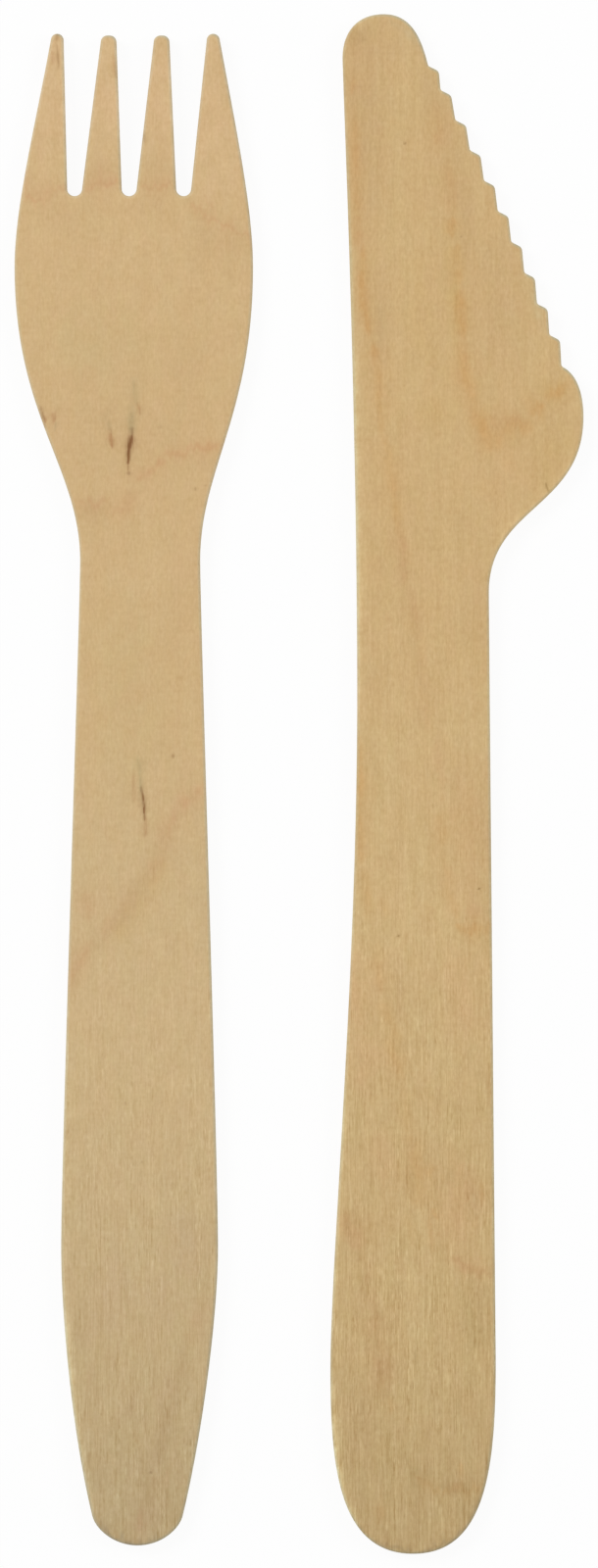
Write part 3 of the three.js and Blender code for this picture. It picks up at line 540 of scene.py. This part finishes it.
# Broad layers: zones of plain and faint fibres, bands, mottling and two casts. Cuts are for the walls.
ZONE = Layer((1.3, 4.5, 2.0), 2.0, 0.6)
BAND = Layer((0.45, 9.0, 3.0), 3.0, 0.6, 0.1)
MOTTLE = Layer((1.6, 2.6, 2.0), 3.0, 0.65)
CAST = Layer((2.0, 4.0, 4.0), 3.0, 0.65, 0.4)
SHEEN = Layer((1.0, 2.5, 3.0), 3.0, 0.65)
CUT = Layer((0.14, 0.14, 1.8), 3.0, 0.6)

# Noise lies round its middle: the levels between which a layer turns over, sharply or softly, a pore opens,
# a cut shows, and the wood's tone goes from dark to pale.
NOISE_MIDDLE = 0.5
SHARP_SPAN = (0.35, 0.65)
SOFT_SPAN = (0.3, 0.7)
PORE_SPAN = (0.60, 0.74)
CUT_SPAN = (0.25, 0.7)
TONE_SPAN = (0.2, 0.8)

# How much each layer shows. The fibres are at their least on the heads.
LINE_GAIN = 2.6
LONG_SHARE = 0.6
FIBRE_LEAST = 0.14
PORE_SHARE = 0.2
MOTTLE_SHARE = 0.3
CROSS_SHARE = 0.18

# What comes and goes: fibres by zone, stains by the fibres that carry them, broad tints by the mottling,
# and the walls' tint by the cuts, each with its strength at the low and at the high end of the noise.
ZONE_GAIN = (0.65, 1.35)
CARRIED_GAIN = (0.7, 1.3)
PATCHY_GAIN = (0.55, 1.45)
CUT_GAIN = (1.0, 0.5)

# Surface: a matt, open wood, with the roughness of its dark and its pale grain, and its grain's height.
ROUGHNESS = (0.76, 0.58)
SPECULAR_LEVEL = 0.3
BUMP_HEIGHT = 0.016 * MM
BUMP_STRENGTH = 0.5

# Light: a large soft lamp from the upper left and a weaker one from the right, in metres and watts, and an
# even surround.
Lamp = namedtuple("Lamp", "name place size power")
LAMPS = (
    Lamp("key", (-1.19, 0.77, 1.11), 0.9, 16.0),
    Lamp("fill", (1.40, 0.44, 1.03), 0.9, 9.0),
)
SURROUND = 0.523

# A white floor: its own colour, the share of even white that the camera sees, and its place and size.
WHITE = (1.0, 1.0, 1.0, 1.0)
FLOOR_COLOUR = (0.9, 0.9, 0.9, 1.0)
FLOOR_WHITE_SHARE = 0.93
FLOOR_DROP = 0.03 * MM
FLOOR_SIZE = 12.0

# A Mix node repeats its sockets for each type of data. These are the ones for colours.
MIX_FACTOR = 0
MIX_A = 6
MIX_B = 7
MIX_RESULT = 2


def merged(places):
    """The index of each place among the places that differ in the digits that count."""
    rounded = np.round(places, POINT_DIGITS)
    return np.unique(rounded, axis=0, return_inverse=True)[1].reshape(-1)


def eased_depth(places):
    """How far the edges are eased: the lowest level at which the sheet is as wide as anywhere."""
    levels = np.round(places[:, 2], LEVEL_DIGITS)
    spans = {z: np.ptp(places[levels == z, 0]) for z in np.unique(levels)}
    widest = max(spans.values())
    return float(min(z for z, span in spans.items() if span > widest - LEVEL_SLACK))


def walked(neighbours):
    """The points of a closed loop in order, from the two neighbours of each."""
    loop = [min(neighbours)]
    last = None
    while True:
        ahead = [i for i in neighbours[loop[-1]] if i != last]
        last = loop[-1]
        if ahead[0] == loop[0]:
            return loop
        loop.append(ahead[0])


def wall_loop(node):
    """The node's outer loop as (n, 2), counter-clockwise from above, and how far its edges are eased."""
    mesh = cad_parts[node].data
    places = np.array([v.co for v in mesh.vertices]) / MM
    ids = merged(places)
    place_of = {i: p for i, p in zip(ids, places)}
    ease = eased_depth(places)
    neighbours = {}
    for edge in mesh.edges:
        a, b = (ids[i] for i in edge.vertices)
        if a != b and all(abs(place_of[i][2] - ease) < LEVEL_SLACK for i in (a, b)):
            neighbours.setdefault(a, set()).add(b)
            neighbours.setdefault(b, set()).add(a)
    ring = np.array([place_of[i][:2] for i in walked(neighbours)])
    x, y = ring.T
    turns_left = np.sum(x * np.roll(y, -1) - y * np.roll(x, -1)) > 0
    return (ring if turns_left else ring[::-1]), ease


def smooth_loop(ring):
    """Finer points along a smooth curve through the loop's points, and the outward direction at each."""
    before = np.roll(ring, 1, axis=0)
    after = np.roll(ring, -1, axis=0)
    heading = after - before
    heading /= np.linalg.norm(heading, axis=1)[:, None]
    places, normals = [], []
    for here, there, out, into in zip(ring, after, heading, np.roll(heading, -1, axis=0)):
        length = np.linalg.norm(there - here)
        turn = math.acos(np.clip(out @ into, -1, 1))
        steps = max(1, math.ceil(length / RIM_LONGEST_STEP), math.ceil(turn / RIM_LARGEST_TURN))
        for t in np.arange(steps) / steps:
            place = here * (1 + 2 * t) * (1 - t) ** 2 + there * (3 - 2 * t) * t**2
            place += length * (out * t * (1 - t) ** 2 + into * (t - 1) * t**2)
            along = (there - here) * 6 * t * (1 - t)
            along += length * (out * (1 - t) * (1 - 3 * t) + into * t * (3 * t - 2))
            along /= np.linalg.norm(along)
            places.append(place)
            normals.append((along[1], -along[0]))
    return np.array(places), np.array(normals)


def painted_shade_facing(loop, normals):
    """How far each point of the loop faces the painted rim shade: 1 straight towards it, 0 in hollows and
    behind.
    """
    ahead = np.roll(loop, -1, axis=0) - loop
    behind = loop - np.roll(loop, 1, axis=0)
    steps = np.linalg.norm(ahead, axis=1) * np.linalg.norm(behind, axis=1)
    turn = (behind[:, 0] * ahead[:, 1] - behind[:, 1] * ahead[:, 0]) / steps
    bend = turn / np.sqrt(steps)
    return np.where(bend < -HOLLOW_BEND, 0, np.clip(normals @ PAINTED_SHADE_SIDE, 0, 1) ** PAINTED_SHADE_POWER)


def rim_profile(ease, thickness):
    """(inset, height) round the edge, from the underside's border to the upper face's."""
    angles = np.linspace(0, math.pi / 2, RIM_STEPS)
    under = [(ease * (1 - math.sin(a)), ease * (1 - math.cos(a))) for a in angles]
    over = [(inset, thickness - height) for inset, height in reversed(under)]
    return under + over


def inside(points, ring):
    """True for each point that lies within the loop."""
    x, y = points.T
    found = np.zeros(len(points), bool)
    for (x0, y0), (x1, y1) in zip(ring, np.roll(ring, -1, axis=0)):
        if y0 == y1:
            continue
        spans = (y0 > y) != (y1 > y)
        found ^= spans & (x < x0 + (y - y0) * (x1 - x0) / (y1 - y0))
    return found


def lattice(low, high, across, along):
    """Staggered points over a box."""
    rows = np.arange(low[1], high[1], along)
    columns = np.arange(low[0], high[0], across)
    return np.array([(x + across * (k % 2) / 2, y) for k, y in enumerate(rows) for x in columns])


def path_distance(points, path):
    """Each point's distance from the path, and its share of the way along it."""
    path = np.array(path)
    lengths = np.linalg.norm(np.diff(path, axis=0), axis=1)
    starts = np.concatenate(([0], np.cumsum(lengths)))
    best = np.full(len(points), np.inf)
    share = np.zeros(len(points))
    for start, a, b, length in zip(starts, path, path[1:], lengths):
        t = np.clip((points - a) @ (b - a) / length**2, 0, 1)
        distance = np.linalg.norm(points - a - t[:, None] * (b - a), axis=1)
        nearer = distance < best
        best = np.where(nearer, distance, best)
        share = np.where(nearer, (start + t * length) / starts[-1], share)
    return best, share


def mark_strength(points, mark):
    """How strongly the mark shows at each point: soft at its sides, thinner and fainter towards its ends."""
    distance, share = path_distance(points, mark.path)
    swell = np.sqrt(np.clip(4 * share * (1 - share), 0, 1))
    reach = distance / (mark.width * (END_WIDTH + (1 - END_WIDTH) * swell))
    strength = mark.strength * (END_STRENGTH + (1 - END_STRENGTH) * swell)
    return strength * (CORE_SHARE * np.exp(-(reach**2)) + (1 - CORE_SHARE) * np.exp(-((reach / HALO) ** 2)))


def feathered(points, rng):
    """The points moved along the grain, each fibre by its own amount, so that marks run out in fibres."""
    shift = FEATHER * smooth_noise(points, np.array(FEATHER_CELL), rng)
    return points + np.column_stack((np.zeros(len(points)), shift))


def strongest(points, marks):
    """The strongest of the marks at each point."""
    return np.max([np.zeros(len(points))] + [mark_strength(points, m) for m in marks], axis=0)


def sunk(points, marks):
    """The depth of the deepest mark at each point."""
    depths = [m.depth * mark_strength(points, m) for m in marks if m.depth]
    return np.max([np.zeros(len(points))] + depths, axis=0)


def smooth_noise(points, cell, rng):
    """Even noise from -1 to 1 with cells of that size, blended smoothly."""
    spots = (points - points.min(axis=0)) / cell
    whole = np.floor(spots).astype(int)
    part = spots - whole
    part = part * part * (3 - 2 * part)
    values = rng.uniform(-1, 1, whole.max(axis=0) + 2)
    x, y = whole.T
    u, v = part.T
    low = values[x, y] * (1 - u) + values[x + 1, y] * u
    high = values[x, y + 1] * (1 - u) + values[x + 1, y + 1] * u
    return low * (1 - v) + high * v


def relief(points, edge_distance, rng):
    """The planed face's low waves along the grain, dying out at the rim."""
    heights = np.zeros(len(points))
    for across, along, height in RELIEF_LAYERS:
        heights += height * smooth_noise(points, np.array((across, along)), rng)
    return heights * np.clip(edge_distance / RELIEF_FADE, 0, 1)


def face_points(border, marks):
    """Points over a face, closer on narrow marks and clear of the border, and their distance from it."""
    tree = kdtree.KDTree(len(border))
    for i, (x, y) in enumerate(border):
        tree.insert((x, y, 0), i)
    tree.balance()
    low, high = border.min(axis=0), border.max(axis=0)
    spread = lattice(low, high, FACE_STEP_ACROSS, FACE_STEP_ALONG)
    narrow = [m for m in marks if m.width < FACE_STEP_ALONG]
    for mark in sorted(narrow, key=lambda m: -m.width):
        path = np.array(mark.path)
        reach = MARK_REACH * mark.width
        step = max(MARK_LEAST_STEP, mark.width / MARK_STEPS_ACROSS)
        near = lattice(path.min(axis=0) - reach, path.max(axis=0) + reach, step, step)
        near = near[path_distance(near, mark.path)[0] < reach]
        spread = spread[path_distance(spread, mark.path)[0] > reach + step / 2]
        spread = np.concatenate((spread, near))
    spread = spread[inside(spread, border)]
    edge = np.array([tree.find((x, y, 0))[2] for x, y in spread])
    clear = edge > FACE_CLEARANCE
    return spread[clear], edge[clear]


def triangles_over(border, points):
    """Triangles that fill the border through the points; an index counts the border first."""
    flat = [Vector(p) for p in np.concatenate((border, points))]
    rim = list(range(len(border)))
    _, _, faces, origins, *_ = delaunay_2d_cdt(flat, [], [rim], FILL_INSIDE, FILL_SLACK)
    return [tuple(origins[i][0] for i in face) for face in faces]


def sheet_faces(levels, border, points):
    """Faces from level to level round the border, then over the upper face's points and the underside's."""
    count = len(border)
    faces = []
    for level in range(levels - 1):
        base = level * count
        for i in range(count):
            j = (i + 1) % count
            faces.append((base + i, base + j, base + count + j, base + count + i))
    top = (levels - 1) * count
    over_start = levels * count
    under_start = over_start + len(points)
    for face in triangles_over(border, points):
        faces.append(tuple(top + i if i < count else over_start + i - count for i in face))
        faces.append(tuple(i if i < count else under_start + i - count for i in reversed(face)))
    return faces


def rim_attributes(profile, ease, facing, total):
    """The way out over the rim at each point, and how far it takes the painted rim shade there; 0 on the
    faces.
    """
    outward = np.repeat([1 - inset / ease for inset, _ in profile], len(facing))
    dark = outward * np.tile(facing, len(profile))
    faces = (0, total - len(outward))
    return {"wall": np.pad(outward, faces), "painted_rim_shade": np.pad(dark, faces)}


def mark_attributes(places, thickness, marks, rng):
    """How strongly each kind of mark shows at each point."""
    upper = places[:, 2] > thickness / 2
    flat = places[:, :2]
    run_out = feathered(flat, rng)
    found = {}
    for kind, kind_marks in marks.items():
        found[kind] = strongest(flat if kind == "streak" else run_out, kind_marks)
        if kind in UPPER_KINDS:
            found[kind] *= upper
    return found


def veneer_mesh(node, marks, seed):
    """The node's sheet with rounded rims, grain relief, sunk streaks, and its marks as point attributes."""
    rng = np.random.default_rng(seed)
    ring, ease = wall_loop(node)
    low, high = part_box(node)
    thickness = (high.z - low.z) / MM
    loop, normals = smooth_loop(ring)
    profile = rim_profile(ease, thickness)
    rows = []
    for inset, height in profile:
        rows.append(np.column_stack((loop - normals * inset, np.full(len(loop), height))))
    border = rows[0][:, :2]
    points, edge = face_points(border, [m for kind in marks.values() for m in kind])
    under = relief(points, edge, rng)
    over = relief(points, edge, rng) - sunk(points, marks["streak"])
    upper_face = np.column_stack((points, thickness + over))
    underside = np.column_stack((points, np.maximum(under, 0)))
    places = np.concatenate(rows + [upper_face, underside])

    mesh = bpy.data.meshes.new(node + "_veneer")
    mesh.from_pydata((places * MM).tolist(), [], sheet_faces(len(profile), border, points))
    attributes = rim_attributes(profile, ease, painted_shade_facing(loop, normals), len(places))
    attributes.update(mark_attributes(places, thickness, marks, rng))
    for name, values in attributes.items():
        mesh.attributes.new(name, "FLOAT", "POINT").data.foreach_set("value", values.astype(np.float32))
    mesh.shade_smooth()
    mesh.validate()
    return mesh


class Shader:
    """Adds nodes to one material or world and links them, so that a pattern reads as nested calls."""

    def __init__(self, owner):
        owner.use_nodes = True
        self.tree = owner.node_tree
        self.tree.nodes.clear()

    def node(self, kind, sockets, **settings):
        """A new node with those settings, each socket linked to another node's or set to a value."""
        made = self.tree.nodes.new(kind)
        for setting, value in settings.items():
            setattr(made, setting, value)
        for key, value in sockets.items():
            if isinstance(value, bpy.types.NodeSocket):
                self.tree.links.new(value, made.inputs[key])
            else:
                made.inputs[key].default_value = value
        return made

    def attribute(self, name):
        """The value of a point attribute."""
        return self.node("ShaderNodeAttribute", {}, attribute_name=name).outputs["Fac"]

    def noise(self, coordinates, layer):
        """A layer of grain, from 0 to 1."""
        scale = tuple(1 / (size * MM) for size in layer.cell)
        placed = self.node("ShaderNodeMapping", {"Vector": coordinates, "Scale": scale})
        sockets = {
            "Vector": placed.outputs["Vector"],
            "Scale": 1.0,
            "Detail": layer.detail,
            "Roughness": layer.roughness,
            "Distortion": layer.warp,
        }
        return self.node("ShaderNodeTexNoise", sockets).outputs[0]

    def ramp(self, value, start, end, low=0.0, high=1.0):
        """Low where the value is at the start, high where it is at the end, and smooth between."""
        sockets = {"Value": value, "From Min": start, "From Max": end, "To Min": low, "To Max": high}
        return self.node("ShaderNodeMapRange", sockets, interpolation_type="SMOOTHSTEP").outputs[0]

    def math(self, operation, a, b, use_clamp=False):
        """One operation on two values."""
        return self.node("ShaderNodeMath", {0: a, 1: b}, operation=operation, use_clamp=use_clamp).outputs[0]

    def plus(self, a, b):
        """The sum of two values."""
        return self.math("ADD", a, b)

    def minus(self, a, b):
        """The first value less the second."""
        return self.math("SUBTRACT", a, b)

    def times(self, a, b):
        """The product of two values."""
        return self.math("MULTIPLY", a, b)

    def swing(self, value, share):
        """How far the value lies from the noise's middle, times a share."""
        return self.times(self.minus(value, NOISE_MIDDLE), share)

    def mix(self, factor, a, b, blend="MIX"):
        """Two colours, blended as far as the factor says."""
        sockets = {MIX_FACTOR: factor, MIX_A: a, MIX_B: b}
        made = self.node("ShaderNodeMix", sockets, data_type="RGBA", blend_type=blend, clamp_factor=True)
        return made.outputs[MIX_RESULT]

    def tinted(self, colour, factor, tint):
        """The colour, multiplied by the tint as far as the factor says."""
        return self.mix(factor, colour, tint, "MULTIPLY")


def toned(wood, grain):
    """A wood colour times a grain colour."""
    return tuple(w * g for w, g in zip(wood, grain)) + (1.0,)


def fibres(shader, place):
    """Straight, fine fibres of limited length, round the noise's middle."""
    total = shader.plus(shader.swing(shader.noise(place, LONG_FIBRE), LONG_SHARE), NOISE_MIDDLE)
    for lines, breaks in LINES:
        line = shader.swing(shader.noise(place, lines), LINE_GAIN)
        length = shader.swing(shader.noise(place, breaks), LINE_GAIN)
        total = shader.plus(shader.times(line, length), total)
    return total


def grain_tone(shader, place, along, look, fibre, pores, mottle):
    """The wood's tone, dark to pale: fibres and pores, then flecks, mottling, ripples and bands."""
    lines = shader.minus(shader.swing(fibre, look.fibres), shader.times(pores, PORE_SHARE))
    lines = shader.times(lines, shader.ramp(along, look.start * MM, look.end * MM, FIBRE_LEAST, 1.0))
    lines = shader.times(lines, shader.ramp(shader.noise(place, ZONE), *SHARP_SPAN, *ZONE_GAIN))
    tone = shader.plus(lines, shader.swing(shader.noise(place, FLECK), look.flecks))
    tone = shader.plus(tone, shader.swing(mottle, MOTTLE_SHARE))
    tone = shader.plus(tone, shader.swing(shader.noise(place, CROSS), CROSS_SHARE))
    tone = shader.plus(tone, shader.swing(shader.noise(place, BAND), look.bands))
    return shader.plus(tone, NOISE_MIDDLE)


def cast_over(shader, place, colour):
    """The colour under two faint casts, pink to green and blue to yellow."""
    cast = shader.ramp(shader.noise(place, CAST), *SHARP_SPAN)
    colour = shader.tinted(colour, 1.0, shader.mix(cast, PINK_CAST, GREEN_CAST))
    sheen = shader.ramp(shader.noise(place, SHEEN), *SOFT_SPAN)
    return shader.tinted(colour, 1.0, shader.mix(sheen, BLUE_CAST, YELLOW_CAST))


def marked(shader, colour, along, look, fibre, mottle):
    """The colour with its marks, painted edge highlights and shade among them, and the fades down its handle.
    """
    carried = shader.ramp(fibre, *SHARP_SPAN, *CARRIED_GAIN)
    patchy = shader.ramp(mottle, *SOFT_SPAN, *PATCHY_GAIN)
    for kind, tint in look.tints.items():
        gain = carried if kind in UPPER_KINDS else patchy
        colour = shader.tinted(colour, shader.times(shader.attribute(kind), gain), tint)
    # The later fades are painted shade, darkening the handle towards its end.
    for fade in look.fades:
        colour = shader.tinted(colour, shader.ramp(along, fade.start * MM, fade.end * MM), fade.tint)
    return colour


def edged(shader, colour, wall, cuts):
    """The colour with a painted highlight on the rims, painted shade where they face the tips, and sawn walls.
    """
    painted_rim_shade = shader.attribute("painted_rim_shade")
    # A painted highlight along every rim.
    colour = shader.tinted(colour, shader.math("POWER", wall, RIM_POWER), RIM_HIGHLIGHT_TINT)
    # Painted shade on the rims that face the tips and a little to the right.
    colour = shader.tinted(colour, shader.math("POWER", painted_rim_shade, RIM_POWER), PAINTED_RIM_SHADE_TINT)
    sawn = shader.times(shader.ramp(wall, *WALL_SPAN), shader.ramp(cuts, *CUT_SPAN, *CUT_GAIN))
    return shader.tinted(colour, sawn, WALL_TINT)


def birch(name, look, offset):
    """Bare, planed birch: its fine grain, own marks, edges with painted highlight and shade, and an open, matt
    surface.
    """
    material = bpy.data.materials.new(name)
    shader = Shader(material)
    own = shader.node("ShaderNodeTexCoord", {}).outputs["Object"]
    place = shader.node("ShaderNodeMapping", {"Vector": own, "Location": offset}).outputs["Vector"]
    along = shader.node("ShaderNodeSeparateXYZ", {"Vector": own}).outputs["Y"]
    fibre = fibres(shader, place)
    mottle = shader.noise(place, MOTTLE)
    pores = shader.ramp(shader.noise(place, PORE), *PORE_SPAN)
    cuts = shader.noise(place, CUT)
    wall = shader.attribute("wall")

    tone = grain_tone(shader, place, along, look, fibre, pores, mottle)
    colour = shader.mix(tone, toned(look.wood, DARK_GRAIN), toned(look.wood, PALE_GRAIN))
    colour = cast_over(shader, place, colour)
    colour = marked(shader, colour, along, look, fibre, mottle)
    colour = edged(shader, colour, wall, cuts)
    height = shader.mix(wall, shader.minus(fibre, pores), cuts)
    bump = {"Strength": BUMP_STRENGTH, "Distance": BUMP_HEIGHT, "Height": height}
    surface = {
        "Base Color": colour,
        "Roughness": shader.ramp(tone, *TONE_SPAN, *ROUGHNESS),
        "Specular IOR Level": SPECULAR_LEVEL,
        "Normal": shader.node("ShaderNodeBump", bump).outputs["Normal"],
    }
    shaded = shader.node("ShaderNodeBsdfPrincipled", surface).outputs["BSDF"]
    shader.node("ShaderNodeOutputMaterial", {"Surface": shaded})
    return material


def seen_directly(shader):
    """1 where the camera, a reflection or glass sees the white, and 0 where it only lights the pieces."""
    path = shader.node("ShaderNodeLightPath", {}).outputs
    seen = shader.plus(path["Is Camera Ray"], path["Is Glossy Ray"])
    return shader.math("ADD", seen, path["Is Transmission Ray"], use_clamp=True)


def floor_material():
    """White paper that stays white to the camera and keeps the pieces' soft shadow."""
    material = bpy.data.materials.new("white_floor")
    shader = Shader(material)
    paper = shader.node("ShaderNodeBsdfDiffuse", {"Color": FLOOR_COLOUR}).outputs["BSDF"]
    white = shader.node("ShaderNodeEmission", {"Color": WHITE, "Strength": 1.0}).outputs["Emission"]
    share = shader.times(seen_directly(shader), FLOOR_WHITE_SHARE)
    mixed = shader.node("ShaderNodeMixShader", {0: share, 1: paper, 2: white}).outputs[0]
    shader.node("ShaderNodeOutputMaterial", {"Surface": mixed})
    return material


def placed_object(name, data):
    """A new object with that data, in the scene."""
    made = bpy.data.objects.new(name, data)
    bpy.context.scene.collection.objects.link(made)
    return made


def add_piece(node, slot, look, marks, seed):
    """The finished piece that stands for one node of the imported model."""
    mesh = veneer_mesh(node, marks, seed)
    piece = placed_object(node + "_veneer", mesh)
    offset = tuple(seed * shift for shift in SEED_SHIFT)
    mesh.materials.append(birch(slot, look, offset))
    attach(piece, "root")
    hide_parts(node)


def add_floor():
    """A wide white floor just under the pieces."""
    half = FLOOR_SIZE / 2
    corners = [(-half, -half, 0), (half, -half, 0), (half, half, 0), (-half, half, 0)]
    mesh = bpy.data.meshes.new("floor")
    mesh.from_pydata(corners, [], [(0, 1, 2, 3)])
    mesh.materials.append(floor_material())
    floor = placed_object("floor", mesh)
    floor.location.z = -FLOOR_DROP


def add_light():
    """Soft lamps turned to the middle of the set, and an even surround that is seen as white."""
    for lamp in LAMPS:
        light = bpy.data.lights.new(lamp.name, "AREA")
        light.shape = "DISK"
        light.size = lamp.size
        light.energy = lamp.power
        source = placed_object(lamp.name, light)
        source.location = lamp.place
        source.rotation_euler = source.location.to_track_quat("Z", "Y").to_euler()
    world = bpy.data.worlds.new("surround")
    shader = Shader(world)
    strength = shader.ramp(seen_directly(shader), 0.0, 1.0, SURROUND, 1.0)
    background = shader.node("ShaderNodeBackground", {"Color": WHITE, "Strength": strength}).outputs[0]
    shader.node("ShaderNodeOutputWorld", {"Surface": background})
    bpy.context.scene.world = world


def add_camera():
    """A long lens straight above the middle, framed as the photograph is."""
    lens = bpy.data.cameras.new("camera")
    lens.sensor_width = SENSOR
    lens.lens = SENSOR * CAMERA_DISTANCE / PHOTO_HEIGHT
    camera = placed_object("camera", lens)
    camera.location = (0.0, 0.0, CAMERA_DISTANCE + cad_box[1].z)
    bpy.context.scene.camera = camera


add_camera()
add_light()
add_floor()
add_piece("fork", "fork_birch", FORK_LOOK, FORK_MARKS, FORK_SEED)
add_piece("knife", "knife_birch", KNIFE_LOOK, KNIFE_MARKS, KNIFE_SEED)
bpy.context.scene.view_settings.view_transform = "Standard"
